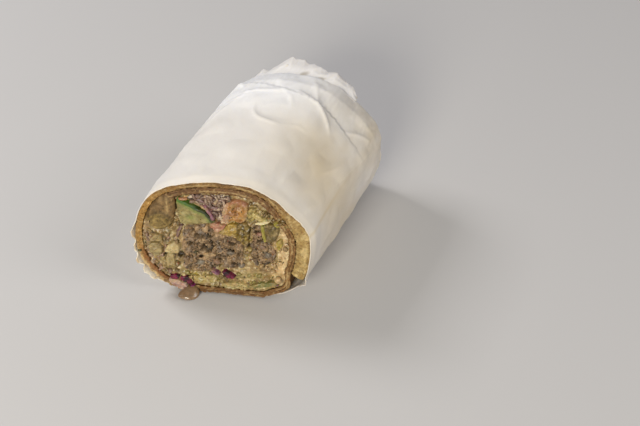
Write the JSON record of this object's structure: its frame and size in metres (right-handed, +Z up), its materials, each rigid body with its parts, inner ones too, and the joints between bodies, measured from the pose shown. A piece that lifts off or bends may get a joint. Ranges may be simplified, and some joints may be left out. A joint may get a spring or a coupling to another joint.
{
  "type": "gyro wrap half",
  "caption": "Half of a rolled flatbread wrap lying in its white paper, cut on a slant to show chopped meat, salad and sauce, closed at the far end by folded paper.",
  "frame": {"origin": "centre of the bounding box on the surface that the wrap lies on", "axes": "+Y along the wrap from the cut end to the closed end of the paper, +X to the right when the cut is faced, +Z up"},
  "size_m": [0.076, 0.1138, 0.0593],
  "materials": {
    "paper": "smooth greaseproof paper, thin enough to let the bread's colour through",
    "flatbread": "baked flatbread, matte, browned outside and pale yellow in the cut",
    "sauce": "creamy sauce with chopped salad, moist",
    "meat": "chopped cooked meat, grey-brown, slightly greasy",
    "meat_shreds": "pulled meat, pinkish grey, moist",
    "cucumber": "wet cucumber with dark green skin",
    "tomato": "sauced tomato, wet",
    "pickle": "pickled gherkin, wet, olive green",
    "lettuce": "pale lettuce rib and leaf",
    "red_cabbage": "red cabbage and onion, wet",
    "dice": "pale diced vegetable"
  },
  "bodies": {
    "root": {"paper": "paper", "flatbread": "flatbread", "filling": "sauce", "sauce_drip": "sauce", "meat_core": "meat", "meat_side": "meat", "meat_shreds": "meat_shreds", "cucumber": "cucumber", "tomato_1": "tomato", "tomato_2": "tomato", "pickle_1": "pickle", "pickle_2": "pickle", "pickle_3": "pickle", "pickle_4": "pickle", "lettuce_1": "lettuce", "lettuce_2": "lettuce", "lettuce_3": "lettuce", "lettuce_4": "lettuce", "lettuce_5": "lettuce", "red_cabbage_1": "red_cabbage", "red_cabbage_2": "red_cabbage", "red_cabbage_3": "red_cabbage", "red_onion": "red_cabbage", "dice_1": "dice", "dice_2": "dice", "dice_3": "dice", "dice_4": "dice"}
  },
  "joints": []
}
